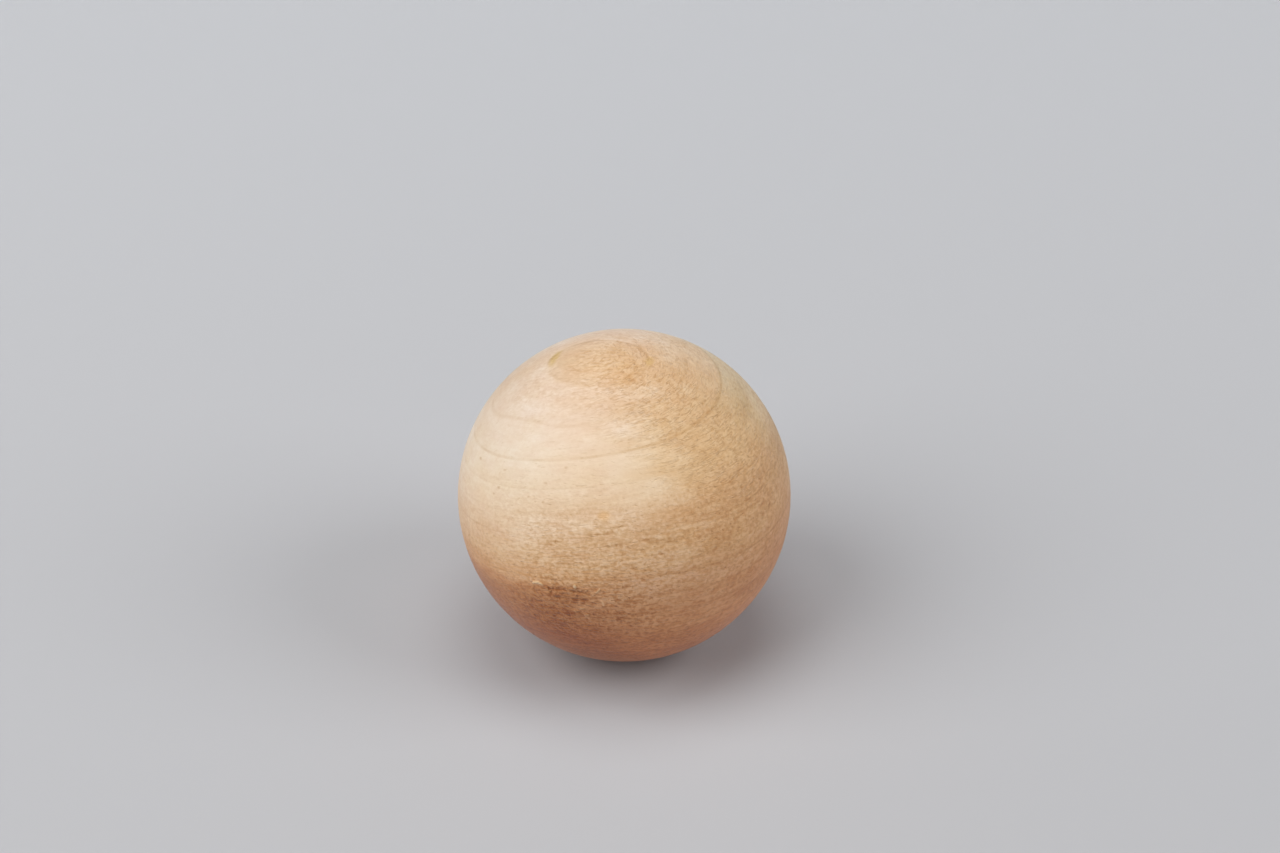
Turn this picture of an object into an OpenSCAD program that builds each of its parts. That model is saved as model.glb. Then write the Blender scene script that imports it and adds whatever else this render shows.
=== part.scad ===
// Turned wooden ball.
// One solid sphere of pale, close-grained hardwood, turned from a single
// block, sanded and left bare. It has no hole, flat, screw or joint.
// Lengths are in millimetres. The origin is the centre of the ball,
// +Z points up and the grain of the wood runs roughly along X.

/* [Ball] */
// Diameter of the ball
ball_d = 60; // [20:1:120]

/* [Preview] */
// Facets once around the ball in a preview mesh
facets = 144; // [48:12:240]

/* [Hidden] */
$fn = facets;

// Half of a round disc, on the +X side of the turning axis.
module half_round(d) {
    intersection() {
        circle(d = d);
        translate([0, -d / 2])
            square([d / 2, d]);
    }
}

// The ball as it leaves the lathe: the half round swept once about Z.
module ball() {
    color("burlywood")
        rotate_extrude()
            half_round(ball_d);
}

ball();
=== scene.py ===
# %% [markdown]
# # A turned wooden ball
# One ball of pale hardwood, turned from a single block, sanded and left bare. What makes it look like wood
# is that its pattern is solid: the same growth rings that draw an oval on the crown run on as lines across
# the front. So the lesson has three parts: a smooth round blank, a little true relief where the grain tore,
# and one material that knows where the middle of the tree was.

# %% Load the frame
import math

import bpy
from mathutils import Euler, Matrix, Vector, noise


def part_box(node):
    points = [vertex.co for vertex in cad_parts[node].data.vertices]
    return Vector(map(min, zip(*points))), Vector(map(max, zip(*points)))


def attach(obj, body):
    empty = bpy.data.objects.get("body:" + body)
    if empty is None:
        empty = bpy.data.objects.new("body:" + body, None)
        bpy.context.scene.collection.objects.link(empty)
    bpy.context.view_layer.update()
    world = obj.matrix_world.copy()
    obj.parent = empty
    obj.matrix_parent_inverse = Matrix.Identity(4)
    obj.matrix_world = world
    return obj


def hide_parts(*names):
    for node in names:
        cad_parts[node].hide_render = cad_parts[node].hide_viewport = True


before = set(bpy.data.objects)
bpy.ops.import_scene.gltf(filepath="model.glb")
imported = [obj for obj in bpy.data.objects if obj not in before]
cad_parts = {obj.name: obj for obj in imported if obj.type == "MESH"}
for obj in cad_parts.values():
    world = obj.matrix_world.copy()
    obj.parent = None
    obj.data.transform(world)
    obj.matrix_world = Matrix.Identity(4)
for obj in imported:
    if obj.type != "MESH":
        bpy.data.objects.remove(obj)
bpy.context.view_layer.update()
low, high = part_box("ball")
RADIUS = (high.z - low.z) / 2
MM = 0.001
print("ball radius", round(RADIUS / MM, 2), "mm")

# %% [markdown]
# ## The camera
# The ball is seen from above, the way one looks down at something held in a hand. A 65 mm lens at about
# 0.4 m keeps the outline a true circle. The ball fills a quarter of the picture's width and sits a little
# below its middle, so the camera aims at a point just above the ball.

# %% Camera
LENS = 65.0
SENSOR = 36.0
ELEVATION = math.radians(35)
BALL_WIDTH = 0.2597  # the ball's width, as a share of the picture's
AIM_RIGHT = 0.0125  # how far right of the ball the camera aims, as a share of the picture's width
AIM_UP = 0.0532

to_camera = Vector((0, -math.cos(ELEVATION), math.sin(ELEVATION)))
picture_up = Vector((0, math.sin(ELEVATION), math.cos(ELEVATION)))
picture_right = Vector((1, 0, 0))
distance = RADIUS * math.hypot(2 * LENS / SENSOR / BALL_WIDTH, 1)
view_width = distance * SENSOR / LENS

bpy.ops.object.select_all(action="DESELECT")
bpy.ops.object.camera_add(location=to_camera * distance)
camera = bpy.context.object
camera.name = "camera"
camera.data.lens = LENS
camera.data.sensor_width = SENSOR
camera.data.clip_start = 0.02
aim = (picture_right * AIM_RIGHT + picture_up * AIM_UP) * view_width
camera.rotation_euler = (aim - camera.location).to_track_quat("-Z", "Y").to_euler()
bpy.context.scene.camera = camera
print("camera", round(distance, 3), "m from the ball")

# %% [markdown]
# ## The table and the light
# A photographer's sweep: a pale round floor that curls up into a wall all the way round, so no edge shows
# from any side. It starts as a cylinder without its lid, and a wide bevel rolls its bottom edge. The light
# is a soft window on the left, a ceiling above and a weaker wall on the right.

# %% Floor
SWEEP_RADIUS = 1.6
SWEEP_HEIGHT = 1.2
SWEEP_ROLL = 0.5
SWEEP_SIDES = 96
ROLL_STEPS = 12

bpy.ops.object.select_all(action="DESELECT")
bpy.ops.mesh.primitive_cylinder_add(
    vertices=SWEEP_SIDES,
    radius=SWEEP_RADIUS,
    depth=SWEEP_HEIGHT,
    location=(0, 0, low.z + SWEEP_HEIGHT / 2),
)
sweep = bpy.context.object
sweep.name = "sweep"
bpy.ops.object.transform_apply(location=True, rotation=True, scale=True)
bpy.ops.object.mode_set(mode="EDIT")
bpy.ops.mesh.select_all(action="DESELECT")
bpy.ops.object.mode_set(mode="OBJECT")
for face in sweep.data.polygons:
    face.select = face.normal.z > 0.9
bpy.ops.object.mode_set(mode="EDIT")
bpy.ops.mesh.delete(type="FACE")
bpy.ops.mesh.select_mode(type="EDGE")
bpy.ops.object.mode_set(mode="OBJECT")
print("cylinder without its lid,", len(sweep.data.polygons), "faces")

# %% Roll its bottom edge
for edge in sweep.data.edges:
    edge.select = all(sweep.data.vertices[end].co.z < low.z + MM for end in edge.vertices)
bpy.ops.object.mode_set(mode="EDIT")
bpy.ops.mesh.bevel(offset=SWEEP_ROLL, segments=ROLL_STEPS, affect="EDGES")
bpy.ops.mesh.select_all(action="SELECT")
bpy.ops.mesh.flip_normals()
bpy.ops.object.mode_set(mode="OBJECT")
bpy.ops.object.shade_smooth()
print("sweep", len(sweep.data.polygons), "faces")


# %% Light
LAMP_DISTANCE = 1.1


def lamp(name, right, up, near, size, power):
    """A round soft lamp, placed by where it stands as the camera sees the ball."""
    direction = (picture_right * right + picture_up * up + to_camera * near).normalized()
    bpy.ops.object.light_add(type="AREA", location=direction * LAMP_DISTANCE)
    made = bpy.context.object
    made.name = name
    made.data.shape = "DISK"
    made.data.size = size
    made.data.energy = power
    made.rotation_euler = direction.to_track_quat("Z", "Y").to_euler()


lamp("window", -0.60, 0.38, 0.63, size=1.0, power=8.2)
lamp("ceiling", 0.0, 0.80, 0.60, size=0.7, power=3.6)
lamp("right_wall", 0.75, 0.35, 0.50, size=0.7, power=4.3)
print("three lamps, each", LAMP_DISTANCE, "m away")

# %% World
AIR_COLOUR = (0.75, 0.77, 0.80, 1)
AIR_STRENGTH = 0.05

world = bpy.data.worlds.new("studio")
bpy.context.scene.world = world
world.use_nodes = True
air = world.node_tree.nodes["Background"]
air.inputs["Color"].default_value = AIR_COLOUR
air.inputs["Strength"].default_value = AIR_STRENGTH
bpy.context.scene.view_settings.view_transform = "Standard"
print("air of strength", AIR_STRENGTH)

# %% [markdown]
# ## Where the tree's middle was
# Growth rings are shells around the pith, the middle of the tree. This ball was cut about three radii away
# from it, so its shells are broad and nearly flat: they show as an oval on the crown, long lines across the
# front and arcs on the ends. Each place in the wood gets three measures in millimetres: how far along the
# log, how far around the ring, and at what level, which falls from shell to shell. Fibres run along the log,
# and the log lies a little askew, so one turn of the axes is all the pattern needs.

# %% Measures of the log
BALL = RADIUS / MM
PITH = 3.013 * BALL  # from the ball's middle up to the pith
LOG_TURN = [math.radians(angle) for angle in (2.8, -13.1, -12.9)]  # about x, y and z
SPREAD = 0.004  # the shells fan apart toward one end
SPREAD_LEVEL = 0.67 * BALL

into_log = Euler(LOG_TURN).to_matrix().inverted()


def measures(point):
    """Along the log, around the ring and level of a point, in millimetres."""
    along, side, height = into_log @ point / MM
    below_pith = PITH - height
    level = PITH - math.hypot(side, below_pith)
    around = PITH * math.atan2(side, below_pith)
    return Vector((along, around, level + SPREAD * along * (SPREAD_LEVEL - level)))


print("the crown lies at level", round(measures(Vector((0, 0, RADIUS))).z, 1), "mm")


# %% [markdown]
# ## Where the tool tore
# A cutter leaves wood smooth where it slides along the fibres, and rough where it meets them from below. On
# a ball that gives two smooth quarters and two rough ones: here the right of the crown and the left of the
# foot are rough. One function says how rough a place is, and everything rough asks it.

# %% Rough and smooth quarters
SHOULDER = (0.7, 0.71)  # shares of along and level that point at the rough shoulder
AGAINST = (0.55 * BALL, 0.90 * BALL)  # how far out toward it the tool meets the fibres
FOOT = (0.60 * BALL, -0.10 * BALL)  # softer wood toward the foot
FOOT_ROUGH = 0.85
END = (0.20 * BALL, 0.75 * BALL)  # fibres cut across at the right end
END_ROUGH = 0.80
SMOOTH = 0.15


def soft_step(value, start, end):
    """Nothing at start, all at end, and an easy curve between."""
    share = min(max((value - start) / (end - start), 0), 1)
    return share * share * (3 - 2 * share)


def roughness_at(spot):
    """How rough the cut is at a place given by its measures, from nearly smooth to one."""
    against = soft_step(abs(SHOULDER[0] * spot.x + SHOULDER[1] * spot.z), *AGAINST)
    foot = FOOT_ROUGH * soft_step(spot.z, *FOOT)
    end = END_ROUGH * soft_step(spot.x, *END)
    return max(SMOOTH, against, foot, end)


front = measures(Vector((0, -RADIUS, 0)))
print("the front's middle is", round(roughness_at(front), 2), "rough")

# %% [markdown]
# ## The blank
# A globe of latitudes and longitudes would pinch at its poles, just where fine relief shows worst. A cube
# that is halved again and again, and pushed out to a sphere each time, has nearly equal squares all over.
# Its six sides also give a tidy map: each side becomes one tile, laid out before the cube is divided.

# %% Cube with six tiles
TILE_MARGIN = 0.01

bpy.ops.object.select_all(action="DESELECT")
bpy.ops.mesh.primitive_cube_add(size=2 * RADIUS)
ball = bpy.context.object
ball.name = "turned_ball"
tiles = ball.data.uv_layers[0]
tiles.name = "OFBake"
for face in ball.data.polygons:
    column, row = face.index % 3, face.index // 3
    for corner, (x, y) in zip(face.loop_indices, ((0, 0), (1, 0), (1, 1), (0, 1))):
        x, y = (min(max(side, TILE_MARGIN), 1 - TILE_MARGIN) for side in (x, y))
        tiles.uv[corner].vector = ((column + x) / 3, (row + y) / 2)
print("cube with", len(ball.data.polygons), "tiles")

# %% Divide and round
FIRST_CUTS = 4
HALVINGS = 4

bpy.ops.object.mode_set(mode="EDIT")
bpy.ops.mesh.select_all(action="SELECT")
bpy.ops.mesh.subdivide(number_cuts=FIRST_CUTS)
for _ in range(HALVINGS):
    bpy.ops.transform.tosphere(value=1.0)
    bpy.ops.mesh.subdivide(number_cuts=1)
bpy.ops.object.mode_set(mode="OBJECT")
print("blank of", len(ball.data.polygons), "squares")


# %% [markdown]
# ## A finer net where there is something to show
# Standing fibres are a few tenths of a millimetre wide and the smallest torn slivers are finer still. Only
# the rough quarters and one torn patch on the front need that much mesh, so faces are chosen by where they
# lie in the wood and halved again. A Cast modifier then puts every point on the true sphere.

# %% Halve the faces of one region
ROUGH_ENOUGH = 0.87  # a place rougher than this gets the finer net
TORN_ALONG = (-11.5, 5.5)  # the patch low on the front where fibres were pulled out
TORN_LEVEL = (-8.4, -0.8)


def refine(chosen, rounds=1):
    """Halve the faces whose middle lies in a chosen region."""
    for _ in range(rounds):
        bpy.ops.object.mode_set(mode="EDIT")
        bpy.ops.mesh.select_mode(type="FACE")
        bpy.ops.mesh.select_all(action="DESELECT")
        bpy.ops.object.mode_set(mode="OBJECT")
        for face in ball.data.polygons:
            face.select = chosen(measures(face.center.normalized() * RADIUS))
        bpy.ops.object.mode_set(mode="EDIT")
        bpy.ops.mesh.subdivide(number_cuts=1)
        bpy.ops.object.mode_set(mode="OBJECT")


def in_torn_patch(spot):
    """Whether a place lies in the torn patch."""
    lengthwise = TORN_ALONG[0] < spot.x < TORN_ALONG[1]
    upward = TORN_LEVEL[0] < spot.z < TORN_LEVEL[1]
    return lengthwise and upward and spot.y < 0


refine(lambda spot: roughness_at(spot) > ROUGH_ENOUGH)
refine(in_torn_patch, rounds=2)
print("finer net of", sum(len(face.vertices) - 2 for face in ball.data.polygons), "triangles")

# %% Put every point on the sphere
bpy.ops.object.modifier_add(type="CAST")
ball.modifiers["Cast"].factor = 1.0
ball.modifiers["Cast"].size = RADIUS
ball.modifiers["Cast"].use_radius_as_size = False
bpy.ops.object.modifier_apply(modifier="Cast")
bpy.ops.object.shade_smooth()
off_sphere = max(abs(vertex.co.length - RADIUS) for vertex in ball.data.vertices)
print("no point is more than", round(off_sphere / MM, 5), "mm off the sphere")

# %% [markdown]
# ## Tears and slivers
# Low on the front the grain was pulled out in a short band. Each tear is a groove a few fibres wide, and
# beside the tears a few slivers still stand up by one end. Both are strokes: a middle, a length, a slant from
# the grain and a bend. How close a point lies to the stroke's line says how much of it the point gets. A
# tear's edge crumbles, with a noise that changes its width as it goes, and a sliver's edge hardly does.

# %% Strokes
# Each stroke: along and level of its middle, length, slant in degrees, bend, half width, how strong
TEARS = (
    (-9.7, -3.9, 1.6, -75, 0.10, 0.16, 0.7),
    (-6.5, -3.1, 1.3, -66, 0.05, 0.17, 0.9),
    (-6.1, -3.3, 2.2, 52, -0.05, 0.16, 0.8),
    (-4.6, -3.05, 3.2, 1, 0.10, 0.20, 0.8),
    (-1.4, -3.20, 3.0, -6, -0.08, 0.20, 0.9),
    (0.2, -3.65, 1.6, -10, 0.0, 0.15, 0.6),
    (-4.9, -4.75, 2.6, 0, 0.05, 0.14, 0.6),
    (-1.6, -4.90, 3.4, -3, 0.06, 0.14, 0.5),
    (-3.4, -3.9, 1.4, 4, 0.0, 0.16, 0.5),
    (-8.4, -3.6, 1.0, -8, 0.0, 0.14, 0.5),
)
SLIVERS = (
    (-8.5, -2.35, 2.5, -3, 0.50, 0.19, 1.0),
    (-1.6, -2.05, 1.0, -86, 0.10, 0.20, 0.9),
    (2.3, -2.8, 1.8, 42, -0.10, 0.12, 0.6),
    (2.5, -5.5, 1.5, -88, 0.05, 0.13, 0.5),
    (0.3, -2.9, 0.9, 20, 0.10, 0.11, 0.5),
    (-1.4, -6.9, 1.3, 15, 0.30, 0.11, 0.6),
    (-2.6, -7.2, 1.0, -30, -0.25, 0.10, 0.5),
    (-0.9, -7.8, 1.2, 10, -0.20, 0.10, 0.5),
)


def stroke_share(spot, stroke, crumbling):
    """How much of a stroke a place gets: one on its line, none beyond its width or its ends."""
    along, level, length, slant, bend, half_width, strength = stroke
    away = Vector((spot.x - along, spot.z - level))
    lengthwise = Vector((math.cos(math.radians(slant)), math.sin(math.radians(slant))))
    run = away.dot(lengthwise) / (length / 2)
    off = away.dot(Vector((-lengthwise.y, lengthwise.x))) - bend * (1 - run * run)
    crumble = noise.noise(Vector((spot.x * 2.3, spot.z * 3.1, strength * 7)))
    narrow = half_width * (1.25 - 0.6 * abs(run) + crumbling * crumble)
    if abs(run) > 1 or narrow <= 0:
        return 0.0
    return strength * soft_step(abs(off), 2 * narrow, 0.3 * narrow) * soft_step(abs(run), 1, 0.6)


print(len(TEARS), "tears and", len(SLIVERS), "slivers")

# %% Paint the weights
TEAR_CRUMBLING = 1.1
SLIVER_CRUMBLING = 0.2
FIBRE_LENGTH, FIBRE_WIDTH, FIBRE_DEPTH = 3.6, 1.8, 0.62

tear, sliver, fibre = [], [], []
for vertex in ball.data.vertices:
    spot = measures(vertex.co)
    torn = lifted = 0.0
    if in_torn_patch(spot):
        torn = max(stroke_share(spot, stroke, TEAR_CRUMBLING) for stroke in TEARS)
        lifted = max(stroke_share(spot, stroke, SLIVER_CRUMBLING) for stroke in SLIVERS)
    strand = noise.noise(Vector((spot.x / FIBRE_LENGTH, spot.y / FIBRE_WIDTH, spot.z / FIBRE_DEPTH)))
    tear.append(torn * (1 - lifted))
    sliver.append(lifted)
    fibre.append(min(max(0.5 + 0.9 * strand, 0), 1) * roughness_at(spot))
print("torn points:", sum(weight > 0 for weight in tear))


# %% [markdown]
# The weights go on the mesh twice: as vertex groups that Displace modifiers push along the surface's own
# direction, and as attributes that the wood's colour reads, so that the dark of a tear sits in its groove.
# That dark is partly the torn wood's own colour and partly painted shade in the groove.

# %% Push the surface
FIBRE_HEIGHT = 0.05 * MM
TEAR_DEPTH = 0.22 * MM
SLIVER_HEIGHT = 0.30 * MM


def displace(name, weights, height):
    """Push the points by height times their weight, and keep the weight for the material."""
    group = ball.vertex_groups.new(name=name)
    for index, weight in enumerate(weights):
        if weight > 0:
            group.add([index], weight, "REPLACE")
    modifier = ball.modifiers.new(name, "DISPLACE")
    modifier.vertex_group = name
    modifier.strength = height
    modifier.mid_level = 0.0
    bpy.ops.object.modifier_apply(modifier=name)
    kept = ball.data.attributes.new(name + "_weight", "FLOAT", "POINT")
    kept.data.foreach_set("value", weights)


displace("fibre", fibre, FIBRE_HEIGHT)
displace("tear", tear, -TEAR_DEPTH)
displace("sliver", sliver, SLIVER_HEIGHT)
reach = [vertex.co.length / MM for vertex in ball.data.vertices]
print("surface from", round(min(reach), 2), "to", round(max(reach), 2), "mm from the middle")

# %% [markdown]
# ## Words for the wood's nodes
# The material is worked out in the same measures as the relief. A few short words keep its cells readable:
# total and times for sums and products, rising for a straight line, step for an easy curve, between for a
# soft window, grain for fibres and wash for a thin stain.

# %% Node words
wood = bpy.data.materials.new("bare_wood")
wood.use_nodes = True
nodes, links = wood.node_tree.nodes, wood.node_tree.links


def add(kind, **settings):
    """A new node of the wood, with its settings."""
    made = nodes.new("ShaderNode" + kind)
    for name, value in settings.items():
        setattr(made, name, value)
    return made


def feed(socket, source):
    """Give a socket a number or another node's output."""
    if isinstance(source, bpy.types.NodeSocket):
        links.new(source, socket)
    else:
        socket.default_value = source


def calc(operation, *sources):
    """Arithmetic with numbers or outputs."""
    made = add("Math", operation=operation)
    for socket, source in zip(made.inputs, sources):
        feed(socket, source)
    return made.outputs[0]


def chain(operation, sources):
    """One operation over many sources, from the first to the last."""
    running = sources[0]
    for source in sources[1:]:
        running = calc(operation, running, source)
    return running


def total(*sources):
    """The sum of many sources."""
    return chain("ADD", sources)


def times(*sources):
    """The product of many sources."""
    return chain("MULTIPLY", sources)


def rising(source, slope, start):
    """A straight line: a start, and a slope for each unit of the source."""
    return calc("MULTIPLY_ADD", source, slope, start)


def away(source, middle):
    """How far a measure lies from a middle value, on either side."""
    return calc("ABSOLUTE", calc("SUBTRACT", source, middle))


print("words for sums and lines ready")


# %% Curves and places
def step(value, start, end, low=0.0, high=1.0):
    """The same easy curve as soft_step, between two amounts."""
    made = add("MapRange", interpolation_type="SMOOTHSTEP")
    settings = {"Value": value, "From Min": start, "From Max": end, "To Min": low, "To Max": high}
    for name, source in settings.items():
        feed(made.inputs[name], source)
    return made.outputs[0]


def between(source, start, full, fading, end):
    """One between two values, with an easy slope on each side."""
    return times(step(source, start, full), step(source, end, fading))


def joined(*three):
    """Three outputs as one place."""
    made = add("CombineXYZ")
    for socket, source in zip(made.inputs, three):
        links.new(source, socket)
    return made.outputs[0]


print("words for curves and places ready")

# %% The three measures, in nodes
turned = add("Mapping", vector_type="POINT")
turned.inputs["Scale"].default_value = (1 / MM, 1 / MM, 1 / MM)
turned.inputs["Rotation"].default_value = into_log.to_euler()
links.new(add("TexCoord").outputs["Object"], turned.inputs["Vector"])
axes = add("SeparateXYZ")
links.new(turned.outputs[0], axes.inputs[0])
along, side, height = axes.outputs
below_pith = calc("SUBTRACT", PITH, height)
from_pith = calc("SQRT", calc("ADD", calc("POWER", side, 2.0), calc("POWER", below_pith, 2.0)))
straight_level = calc("SUBTRACT", PITH, from_pith)
around = times(calc("ARCTAN2", side, below_pith), PITH)
fan = times(along, SPREAD, calc("SUBTRACT", SPREAD_LEVEL, straight_level))
level = calc("ADD", straight_level, fan)
place = joined(along, around, level)
print("measures in", len(nodes), "nodes")


# %% [markdown]
# ## Fibres
# Wood's fine marks are long, a little wide and very thin, all along the log. So each noise is stretched by
# three sizes in the log's measures. On the front it then cuts as long streaks, and on the right end as
# short curved strokes, with nothing said about where the front or the end is.

# %% Grain
SPREAD_OUT = 7.0  # a noise keeps close to its middle, and this brings it to about one each way


def grain(length, width, thickness, seed, detail=2.0, wander=0.0):
    """Noise about zero, with marks of the given size in millimetres."""
    shrink = add("VectorMath", operation="MULTIPLY_ADD")
    links.new(place, shrink.inputs[0])
    shrink.inputs[1].default_value = (1 / length, 1 / width, 1 / thickness)
    shrink.inputs[2].default_value = (seed * 3.7, seed * 7.1, seed * 5.3)
    made = add("TexNoise")
    links.new(shrink.outputs[0], made.inputs["Vector"])
    made.inputs["Scale"].default_value = 1.0
    made.inputs["Detail"].default_value = detail
    made.inputs["Roughness"].default_value = 0.55
    made.inputs["Distortion"].default_value = wander
    return times(calc("SUBTRACT", made.outputs[0], 0.5), SPREAD_OUT)


def curls(length, width, thickness, seed):
    """Short wandering lines where a noise crosses zero."""
    wandering = grain(length, width, thickness, seed, detail=1.0, wander=0.3)
    crossing = step(calc("ABSOLUTE", wandering), 0.55, 0.0)
    here = step(grain(1.1, 1.0, 0.7, seed + 20, detail=0.0), -1.0, 0.6, low=0.35)
    return times(crossing, here)


# Length, width and thickness of each kind of mark
fibres = grain(3.0, 1.8, 0.46, seed=1)
pebbles = grain(0.75, 0.8, 0.58, seed=2, detail=1.5, wander=0.4)
wool = curls(1.0, 1.0, 0.40, seed=9)
combed = curls(3.0, 2.6, 0.27, seed=12)
vessels = step(grain(1.6, 0.40, 0.34, seed=14, detail=1.0), 0.7, 2.0)
streaks = grain(13, 6, 0.65, seed=3)
bands = grain(16, 8, 1.5, seed=17, detail=1.0)
clouds = grain(9, 7, 3.5, seed=4, detail=1.0)
waves = grain(26, 20, 14, seed=5, detail=1.0)
print("grain,", len(nodes), "nodes so far")

# %% Rough quarters, in nodes
shoulder = rising(along, SHOULDER[0], times(level, SHOULDER[1]))
against = step(calc("ABSOLUTE", shoulder), *AGAINST)
foot = step(level, *FOOT, high=FOOT_ROUGH)
end = step(along, *END, high=END_ROUGH)
rough = calc("MAXIMUM", calc("MAXIMUM", against, SMOOTH), calc("MAXIMUM", foot, end))
print("rough quarters,", len(nodes), "nodes so far")

# %% [markdown]
# ## Growth rings
# Each year ends in a thin dark line. Before it the wood darkens slowly, and after it the new year starts
# pale at once, so a ring has a soft upper side and a sharp lower one. The years get thinner outward, and no
# two lines are equally strong. The shells aren't perfect either: they lean and curve at the crown, and they
# lift a little on the left and toward the right end. A line lifts where the rings' own level is made less.

# %% The rings' own level
by_crown = step(level, 25.0, 28.0)
lean = total(
    times(along, 0.0975),
    times(along, along, 0.0040),
    times(along, around, -0.0031),
    times(around, -0.017),
)
left_lift = times(step(away(along, -9.3), 8.5, 1.5, high=-0.85), between(level, 21.0, 24.0, 26.5, 28.0))
toward_end = calc("MAXIMUM", calc("SUBTRACT", along, 13.0), 0.0)
right_lift = times(toward_end, -0.04, step(level, 14.0, 18.0))
ring_level = total(level, times(waves, 0.09), times(lean, by_crown), left_lift, right_lift)
print("the rings' level,", len(nodes), "nodes so far")

# %% Years
FIRST_RING = 29.0  # level of the oval on the crown
YEAR_AT_CROWN = 4.94  # thickness of a year there
THINNING = 0.00108  # how the years grow thinner outward
LINE_SCALE = 4.2  # millimetres of level in a year, as the lines are drawn away from the crown
CROWN_SCALE = 6.3  # and how much more on it, so that a line stays thin where the cut runs along the shell

below_first = calc("SUBTRACT", FIRST_RING, ring_level)
years_out = rising(calc("POWER", below_first, 2.0), THINNING, calc("DIVIDE", below_first, YEAR_AT_CROWN))
year = calc("ROUND", years_out)
ahead = times(calc("SUBTRACT", years_out, year), rising(by_crown, CROWN_SCALE, LINE_SCALE))
line = between(ahead, -0.30, -0.05, 0.06, 0.26)
late = times(calc("POWER", step(ahead, -1.5, 0.0), 2.0), step(ahead, 0.30, 0.0))
early = between(ahead, 0.10, 0.4, 0.5, 1.6)
print("years of", YEAR_AT_CROWN, "mm at the crown")


# %% How strong each year's line is
def ramp(stops, source, blending="LINEAR"):
    """A colour ramp from pairs of a place and a colour."""
    made = add("ValToRGB")
    made.color_ramp.interpolation = blending
    while len(made.color_ramp.elements) < len(stops):
        made.color_ramp.elements.new(1.0)
    for element, (position, shade) in zip(made.color_ramp.elements, stops):
        element.position = position
        element.color = (*shade, 1)
    links.new(source, made.inputs[0])
    return made.outputs["Color"]


# How strong each year's line is, from the oval on the crown outward
YEARS = (1.0, 0.40, 0.85, 0.20, 0.20, 0.40, 0.25, 0.70, 0.35, 0.60, 0.40, 0.7, 0.4, 0.6, 0.5, 0.6)

year_share = calc("DIVIDE", calc("ADD", year, 1.0), len(YEARS) + 1)
year_stops = [((index + 0.5) / (len(YEARS) + 1), (strong,) * 3) for index, strong in enumerate(YEARS)]
worn = step(grain(7, 7, 8, seed=6), -1.2, 1.2, low=0.25, high=1.25)
worn = calc("MAXIMUM", worn, step(along, 13.0, 19.0))  # the ends are worn less
strength = times(ramp(year_stops, year_share, "CONSTANT"), worn)
far_side = times(step(around, -4.0, 3.0, low=0.40, high=1.40), step(along, 11.0, 4.0, low=0.3))
on_oval = rising(calc("SUBTRACT", far_side, 1.0), by_crown, 1.0)
line = times(line, strength, on_oval)
late = times(late, strength)
print(len(YEARS), "years")


# %% [markdown]
# ## The ground colour
# The upper wood is cream, the lower wood is browner, and the change is sudden where a ring divides them on
# the left and slow on the right. Two ramps by level hold these two sides, and the place along the log mixes
# them. Their lowest stops are darker than the wood itself: painted shade on the ball's lower part, heaviest
# at the front. Streaks shift the level that the ramps read, so that a border frays along the fibres.

# %% Colour by level
# Each stop: level and colour, from the crown down
# From about level -5 down, the stops on both sides also hold painted shade, darker than the wood's own brown.
LEFT = (
    (30.0, (0.830, 0.585, 0.355)),
    (28.6, (0.850, 0.635, 0.450)),
    (25.0, (0.865, 0.680, 0.515)),
    (21.0, (0.880, 0.710, 0.535)),
    (16.0, (0.890, 0.700, 0.495)),
    (13.0, (0.890, 0.680, 0.468)),
    (10.0, (0.870, 0.630, 0.413)),
    (7.0, (0.850, 0.575, 0.345)),
    (3.0, (0.840, 0.532, 0.287)),
    (-1.3, (0.800, 0.445, 0.208)),
    (-2.9, (0.650, 0.290, 0.107)),
    (-5.0, (0.510, 0.200, 0.062)),
    (-9.0, (0.460, 0.153, 0.034)),
    (-14.0, (0.410, 0.105, 0.016)),
    (-30.0, (0.410, 0.120, 0.022)),
)
RIGHT = (
    (13.0, (0.890, 0.670, 0.468)),
    (7.0, (0.780, 0.505, 0.288)),
    (2.0, (0.785, 0.488, 0.262)),
    (-2.0, (0.750, 0.425, 0.222)),
    (-7.0, (0.690, 0.332, 0.146)),
    (-11.0, (0.720, 0.330, 0.135)),
    (-14.0, (0.650, 0.252, 0.084)),
    (-19.0, (0.570, 0.185, 0.048)),
    (-30.0, (0.560, 0.185, 0.055)),
)


def by_level(stops, source):
    """A colour ramp whose stops are given by level, from the crown down."""
    share = add("MapRange")
    feed(share.inputs["Value"], source)
    feed(share.inputs["From Min"], -BALL)
    feed(share.inputs["From Max"], BALL)
    stops = [((stop_level + BALL) / (2 * BALL), shade) for stop_level, shade in sorted(stops)]
    return ramp(stops, share.outputs[0])


print(len(LEFT), "and", len(RIGHT), "stops")


# %% Left, right and back
def blend(factor, under, over, kind="MIX"):
    """One colour over another."""
    made = add("Mix", data_type="RGBA", blend_type=kind)
    feed(made.inputs[0], factor)
    feed(made.inputs[6], under)
    feed(made.inputs[7], over)
    return made.outputs[2]


frayed = total(ring_level, times(streaks, rough, 0.35))
right_half = step(rising(clouds, 2.0, along), -6.0, 9.0)
left_tip = step(rising(clouds, 1.0, along), -11.0, -17.0, high=0.20)
# Over the back the lower wood takes the lighter right ramp, so the heaviest painted shade stays low on the
# front.
back = times(step(rising(clouds, 2.0, around), -14.0, 6.0, high=0.85), step(level, 4.0, -5.0))
rightness = calc("MAXIMUM", calc("ADD", right_half, left_tip), back)
ground = blend(rightness, by_level(LEFT, frayed), by_level(RIGHT, frayed))
upper = step(level, 9.0, 13.0)
ground = blend(upper, ground, by_level(LEFT, frayed))
print("ground colour,", len(nodes), "nodes so far")


# %% [markdown]
# ## Washes
# A stain works like coloured glass: two coats darken twice over. So each wash is a colour raised to the
# power of its coats, which the Gamma node does, and multiplied in. Less than no coats makes the wood paler,
# so one wash can carry grain that is both lighter and darker than the ground.

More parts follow.
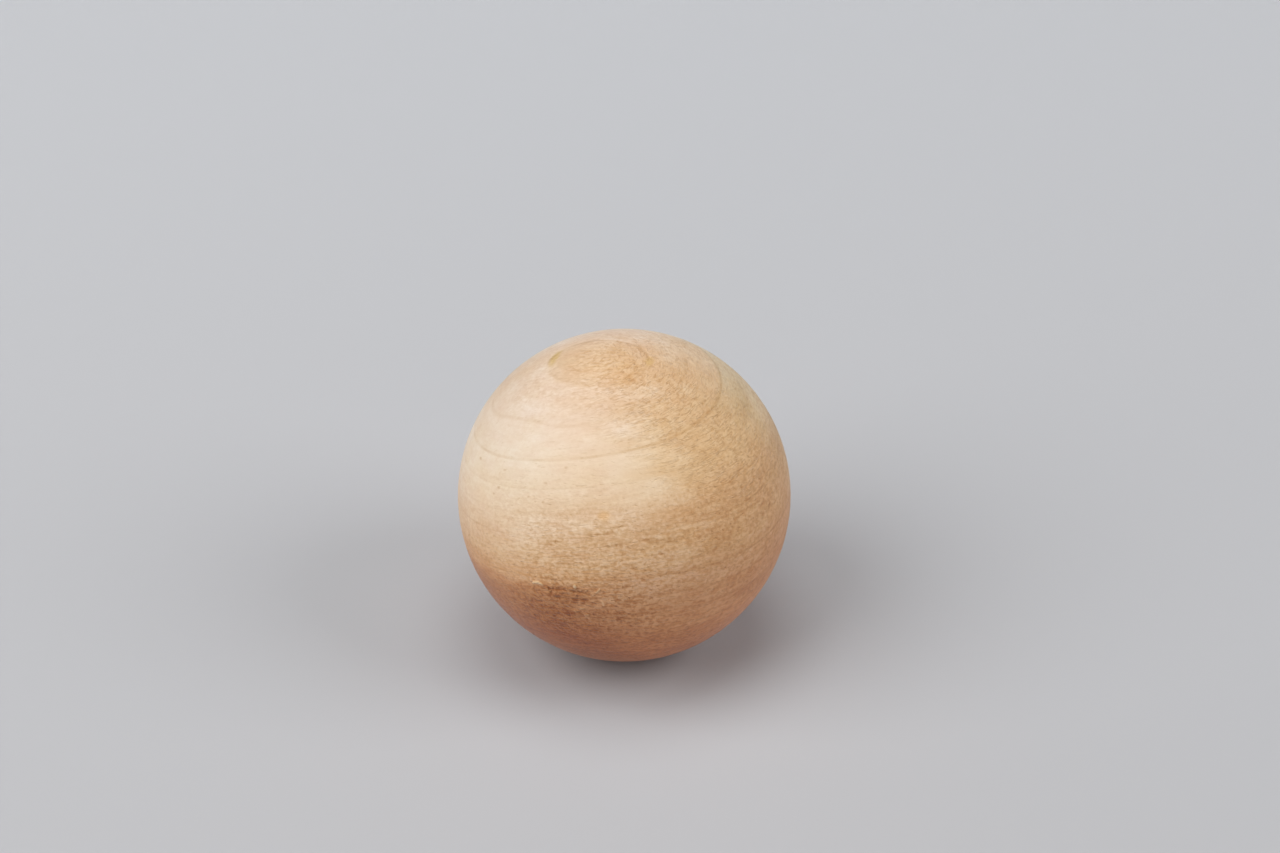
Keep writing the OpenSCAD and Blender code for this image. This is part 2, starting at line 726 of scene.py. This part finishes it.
# %% Wash
def wash(colour, stain, coats):
    """Lay a number of coats of a stain over a colour."""
    thick = add("Gamma")
    thick.inputs["Color"].default_value = (*stain, 1)
    feed(thick.inputs["Gamma"], coats)
    return blend(1.0, colour, thick.outputs[0], kind="MULTIPLY")


HONEY = (0.715, 0.455, 0.215)
BROWN = (0.527, 0.368, 0.210)
TAN = (0.52, 0.368, 0.20)
ROSE = (0.80, 0.62, 0.56)
print("stains: honey, brown, tan and rose")

# %% Honey in broad zones
even = rising(times(between(along, 6, 11, 20, 26), between(level, 6, 9, 17, 21)), -0.6, 1.0)
right_shoulder = step(total(along, times(level, 0.35), clouds), 12.5, 27.0, high=0.42)
# The right shoulder's honey is the end grain's own gold; it is weaker over the back, which paints the paler
# sheen seen there at a grazing angle.
facing_and_sheen = times(step(around, 12.0, -4.0, low=0.45), step(level, -1.0, 14.0, low=0.35))
# Low on the left end this honey is partly the end grain's own gold and partly painted shade on the ball's
# lower part.
left_foot_gold_and_shade = times(step(calc("ADD", along, clouds), -12.0, -24.0, high=0.42), step(level, 5.0, -8.0))
flecked = times(grain(5, 4, 1.8, seed=16), even)
honey = total(
    step(along, -6.0, 6.0, high=0.10),
    times(right_shoulder, facing_and_sheen),
    left_foot_gold_and_shade,
    times(clouds, 0.03),
    times(flecked, times(calc("ADD", rough, foot), 0.030)),
)
colour = wash(ground, HONEY, honey)
print("honey,", len(nodes), "nodes so far")

# %% [markdown]
# ## How strongly the grain shows
# Where the tool tore, the grain shows most: pebbly on the foot, combed on the shoulder. Beside that, no wood
# is equally lively all over. So the coats of grain are worked out first, from how rough a place is, and then
# turned up or down in a few soft windows, some of them left open at the side where they leave the ball.

# %% Coats of grain
FAINTEST = -0.16  # coats that the palest fleck may have

around_tears = times(step(away(along, -2.0), 16.0, 5.0), step(away(level, -7.0), 9.0, 3.0))
calm = times(step(along, 10.0, 20.0), step(level, 6.0, -2.0))
combed_here = times(against, step(level, -6.0, 6.0, low=0.3))
coarse = total(
    rough,
    times(foot, 0.8),
    times(around_tears, 1.1),
    times(against, -0.4),
    times(calm, -0.30),
    step(level, 24.5, 28.0, high=0.22),
)
fine = total(
    times(fibres, rising(coarse, 0.050, 0.012)),
    times(pebbles, rising(coarse, -0.115, rising(foot, -0.05, -0.004))),
    times(calc("SUBTRACT", combed, 0.25), times(combed_here, 0.31)),
    times(calc("SUBTRACT", 0.25, wool), times(foot, 0.15)),
    times(vessels, rising(coarse, 0.12, 0.08)),
    times(streaks, rising(coarse, 0.035, rising(foot, 0.03, 0.002))),
)
fine = calc("MAXIMUM", fine, FAINTEST)
print("coats of grain,", len(nodes), "nodes so far")

# %% Livelier and calmer places
FAR = 2 * BALL  # past the ball, for a window with an open side
LIVELIER = (  # along: where it starts, is full, fades, ends; the same by level; how much more or less
    ((-FAR, -BALL, -14, -5), (-7, -3, 9, 14), -0.48),
    ((-14, -8, 1, 6), (21.5, 24.5, BALL, FAR), 0.35),
    ((-17, -12, 8, 13), (6, 9, 15, 18), 0.32),
    ((4, 9, 20, 25), (11, 14, 20, 24), -0.27),
    ((-1, 2, 6, 10), (19.0, 21.0, 22.5, 24.5), 0.40),
    ((8, 16, BALL, FAR), (-20, -16, 1, 5), -0.18),
    ((-12, -7, 7, 12), (-5, -3, -0.5, 2.5), -0.12),
)
windows = [times(between(along, *lengthwise), between(level, *upward), more)
           for lengthwise, upward, more in LIVELIER]
far_shoulder = times(between(around, -7, 0, 7, 14), step(along, 0, 9), -0.32)
fine = times(fine, total(1.0, *windows, far_shoulder))
fine = rising(times(bands, times(foot, step(along, -6, 2))), 0.035, fine)
print(len(LIVELIER) + 1, "livelier or calmer places")

# %% Lay the grain and the rings
rings = total(times(line, 0.20), times(late, 0.04), times(early, -0.02))
pink = times(between(along, -9.0, 1.0, 5.0, 14.0), step(level, 8.0, 13.0))
blush = calc("MAXIMUM", grain(5, 4, 2.0, seed=8, detail=1.0), -1.0)
blush = times(blush, even, rising(foot, 0.03, 0.05))

colour = wash(colour, BROWN, times(fine, rising(foot, -0.28, 1.0)))
colour = wash(colour, HONEY, times(fine, times(foot, 0.50)))
colour = wash(colour, TAN, rings)
colour = wash(colour, ROSE, total(blush, times(pink, 0.10)))
print("grain and rings laid,", len(nodes), "nodes so far")


# %% [markdown]
# ## Single marks
# Beside the even pattern there are a few marks of their own: dark pores, short streaks where a vessel was
# opened, an orange fleck, two olive stains at the ends of the oval. One short dark mark in the torn patch is
# painted shadow under a lifted sliver. Each is a soft lens in the measures of the log, frayed a little by the
# fibres.

# %% A lens
FRAYING = 0.10
IN_FRONT = -0.9 * BALL  # around the ring, about the middle of the front

ragged_place = joined(along, around, rising(fibres, FRAYING, level))


def lens(at_along, at_level, length, thickness, half_span=BALL, at_around=IN_FRONT):
    """A soft lens: one in its middle, none at its rim."""
    offset = add("VectorMath", operation="SUBTRACT")
    links.new(ragged_place, offset.inputs[0])
    offset.inputs[1].default_value = (at_along, at_around, at_level)
    scaled = add("VectorMath", operation="MULTIPLY")
    links.new(offset.outputs[0], scaled.inputs[0])
    scaled.inputs[1].default_value = (2 / length, 1 / half_span, 2 / thickness)
    to_middle = add("VectorMath", operation="LENGTH")
    links.new(scaled.outputs[0], to_middle.inputs[0])
    return step(to_middle.outputs["Value"], 1.0, 0.2)


print("lens ready")

# %% Streaks, pores and cuts
# Each streak: along, level, length, thickness, coats
STREAKS_AND_SHADOW = (
    (-12.5, 16.1, 14.0, 0.7, 0.10),
    (-5.2, 5.75, 3.8, 0.8, 0.60),
    (-3.7, 6.30, 3.8, 0.7, 0.60),
    (4.3, 7.35, 5.0, 0.75, 0.45),
    (6.2, 7.70, 4.0, 0.6, 0.35),
    (7.4, 8.45, 5.5, 0.7, 0.40),
    (7.1, 5.25, 4.8, 0.9, 0.65),
    (12.2, 5.65, 5.0, 1.0, 0.40),
    (14.4, 5.2, 9.0, 1.2, 0.22),
    (6.8, -2.25, 9.0, 0.7, 0.40),
    (-7.7, -8.6, 6.0, 1.2, 0.30),
    (4.3, -8.8, 12.0, 1.6, 0.30),
    (-2.6, -2.7, 13.5, 2.6, 0.34),
    (-3.0, -4.2, 13.0, 3.6, 0.26),
    # This one is painted shadow under the first sliver, not a streak.
    (-8.9, -3.4, 2.6, 1.8, 0.35),
    (-1.5, -4.8, 6.0, 0.8, 0.30),
)
# Each pore: along, level, coats
PORE_LENGTH, PORE_THICKNESS = 1.1, 0.55
PORES = (
    (-18.6, 18.1, 0.30),
    (-0.4, 18.4, 0.16),
    (-12.6, 17.7, 0.16),
    (-13.9, 14.7, 0.22),
    (-15.2, 13.5, 0.16),
    (-9.0, 16.9, 0.12),
    (-7.6, 13.8, 0.22),
    (-4.3, 16.1, 0.14),
    (-4.9, 13.0, 0.16),
    (14.0, 2.9, 0.30),
)
# Four small cuts in a row beside a ring, where the arc meets the rough shoulder: along and level
CUTS = ((19.8, 22.2), (20.8, 21.3), (21.6, 20.7), (21.0, 20.0))
CUTS_AROUND = -6.4
CUT_LENGTH, CUT_THICKNESS, CUT_HALF_SPAN, CUT_COATS = 1.8, 0.7, 2.5, 0.30

strands = step(grain(2.6, 1.6, 0.50, seed=21), -0.9, 1.1, low=0.35)  # a streak is split into strands
cut_lenses = [lens(at_along, at_level, CUT_LENGTH, CUT_THICKNESS, CUT_HALF_SPAN, CUTS_AROUND)
              for at_along, at_level in CUTS]
cut_coats = [times(cut, CUT_COATS) for cut in cut_lenses]
streak_and_shadow_coats = [times(lens(at_along, at_level, length, thickness), strands, coats)
                for at_along, at_level, length, thickness, coats in STREAKS_AND_SHADOW]
pore_coats = [times(lens(at_along, at_level, PORE_LENGTH, PORE_THICKNESS), coats)
              for at_along, at_level, coats in PORES]
dark = total(*cut_coats, *streak_and_shadow_coats, *pore_coats)
print(len(STREAKS_AND_SHADOW), "streaks,", len(PORES), "pores and", len(CUTS), "cuts")

# %% [markdown]
# ## Soft patches
# No wood is one even colour. A few golden and dusky patches, about one or two centimetres long, lie over the
# ground with so little stain that no edge shows. Two of them, low on the left and low at the right end, are
# painted shade on the ball's lower part instead. Each is a wide lens. A longer, milky one has coats below
# none, so it is paler than the wood around it.

# %% Soft patches
# Each patch: along, around, level, length, coats
GOLDEN_AND_SHADE = (
    (-16, 3, 24, 22, 0.14),
    (-11, 4, 27.5, 14, 0.14),
    (-19, -7, 21.5, 16, 0.08),
    (-4, 4, 29.3, 12, 0.07),
    # This golden one, low on the left, is painted shade.
    (-22, -20, 0, 14, 0.11),
)
DUSKY_AND_SHADE = (
    (12.3, -27, 7.2, 8, 0.10),
    # This dusky one, low at the right end, is painted shade.
    (24, -13, -9, 14, 0.14),
    (24.5, 6, 16, 14, 0.09),
)
PATCH_SPAN = 0.7  # half width around the ring, as a share of the length
PATCH_THICKNESS = 0.4


def patches(spots):
    """The coats of several soft round patches together."""
    return total(*[times(lens(at_along, at_level, length, PATCH_THICKNESS * length,
                              PATCH_SPAN * length, at_around), coats)
                   for at_along, at_around, at_level, length, coats in spots])


milky = times(lens(14.5, 14.0, 24.0, 13.0), -0.10)
colour = wash(colour, HONEY, calc("ADD", milky, patches(GOLDEN_AND_SHADE)))
colour = wash(colour, BROWN, patches(DUSKY_AND_SHADE))
colour = wash(colour, BROWN, times(dark, rising(pebbles, -0.30, 1.0)))
print(1 + len(GOLDEN_AND_SHADE) + len(DUSKY_AND_SHADE), "soft patches")

# %% Painted sheen, olive and orange
PAINTED_SHEEN_TINT = (0.35, 0.85, 1.0)
OLIVE = (0.80, 0.72, 0.30)
ORANGE = (1.00, 0.78, 0.45)

# Beyond the second ring on the right end and over toward the back, a cool grey-green cast and a little less
# honey: painted sheen, the pale surroundings reflected at a grazing angle.
past_ring = step(ring_level, 20.4, 19.2)
over_the_back = step(rising(clouds, 2.0, around), -8.0, 9.0)
right_end = times(step(along, 5.0, 20.0), step(level, -4.0, 10.0))
beyond = times(past_ring, over_the_back, right_end)
colour = wash(colour, PAINTED_SHEEN_TINT, times(beyond, 0.07))
colour = wash(colour, HONEY, times(beyond, -0.03))
left_olive = times(lens(-5.8, 29.45, 2.8, 1.1, 5.5, 2.4), 0.60)
right_olive = times(lens(11.4, 27.4, 2.4, 1.6, 3.0, 0.5), 0.35)
colour = wash(colour, OLIVE, calc("ADD", left_olive, right_olive))
orange_fleck = times(lens(5.6, 10.4, 3.2, 2.4), 0.42)
colour = wash(colour, ORANGE, orange_fleck)
print("single marks,", len(nodes), "nodes so far")

# %% Tears and slivers
SLIVER_COLOUR = (0.83, 0.585, 0.335, 1)

torn_weight = add("Attribute", attribute_name="tear_weight").outputs["Fac"]
sliver_weight = add("Attribute", attribute_name="sliver_weight").outputs["Fac"]
# A tear's brown is partly torn wood and partly painted shade in its groove.
colour = wash(colour, BROWN, times(torn_weight, 0.45))
colour = blend(step(sliver_weight, 0.1, 0.8, high=0.82), colour, SLIVER_COLOUR)
print("tears dark, slivers pale")

# %% [markdown]
# ## The skin
# Bare wood has hardly any gloss: a broad, weak sheen where it was cut smooth and none where fibres stand.
# The bump carries what is too fine for the mesh: the thinnest fibres, the ring lines, which stand a hair
# proud because they are harder, and the open vessels.

# %% Bump
relief = total(  # in millimetres
    times(fibres, rising(coarse, 0.009, 0.002)),
    times(pebbles, rising(coarse, 0.016, rising(foot, -0.012, 0.004))),
    times(combed, times(combed_here, -0.050)),
    times(wool, times(foot, 0.04)),
    times(vessels, rising(coarse, -0.04, -0.02)),
    times(line, 0.010),
    times(torn_weight, -0.02),
)
bump = add("Bump")
bump.inputs["Distance"].default_value = MM
links.new(relief, bump.inputs["Height"])
print("bump,", len(nodes), "nodes so far")

# %% Skin
surface = nodes["Principled BSDF"]
links.new(colour, surface.inputs["Base Color"])
links.new(bump.outputs[0], surface.inputs["Normal"])
dullness = total(times(rough, 0.18), times(fibres, 0.02), 0.52)
links.new(dullness, surface.inputs["Roughness"])
surface.inputs["Sheen Weight"].default_value = 0.25
surface.inputs["Sheen Roughness"].default_value = 0.5
ball.data.materials.append(wood)
print("wood of", len(nodes), "nodes")

# %% [markdown]
# ## The sweep's paper
# Pale, nearly neutral, a little cooler toward the back. It is painted much paler toward the back than at the
# front: painted light, standing for a brightly lit wall behind the ball and a dimmer floor before it.

# %% Paper
PAPER_NEAR = (0.540, 0.540, 0.555, 1)
PAPER_BACK = (0.885, 0.905, 0.940, 1)
PAPER_PAINTED_LIGHT = (-0.15, 0.75)  # how far back it starts to get paler, and where it is palest, in metres

paper = bpy.data.materials.new("pale_paper")
paper.use_nodes = True
paper_nodes, paper_links = paper.node_tree.nodes, paper.node_tree.links
position = paper_nodes.new("ShaderNodeTexCoord")
parts = paper_nodes.new("ShaderNodeSeparateXYZ")
paper_links.new(position.outputs["Object"], parts.inputs[0])
toward_back = paper_nodes.new("ShaderNodeMapRange")
toward_back.interpolation_type = "SMOOTHSTEP"
toward_back.inputs["From Min"].default_value = PAPER_PAINTED_LIGHT[0]
toward_back.inputs["From Max"].default_value = PAPER_PAINTED_LIGHT[1]
paper_links.new(parts.outputs["Y"], toward_back.inputs["Value"])
tone = paper_nodes.new("ShaderNodeValToRGB")
tone.color_ramp.elements[0].color = PAPER_NEAR
tone.color_ramp.elements[1].color = PAPER_BACK
paper_links.new(toward_back.outputs[0], tone.inputs[0])
paper_surface = paper_nodes["Principled BSDF"]
paper_links.new(tone.outputs["Color"], paper_surface.inputs["Base Color"])
paper_surface.inputs["Roughness"].default_value = 0.9
paper_surface.inputs["Specular IOR Level"].default_value = 0.0
sweep.data.materials.append(paper)
print("paper of", len(paper_nodes), "nodes")

# %% [markdown]
# ## Into the frame
# The ball rides on the one body, stands for the solid of the same size, and takes the wood's finish.

# %% Into the frame
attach(ball, "root")
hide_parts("ball")
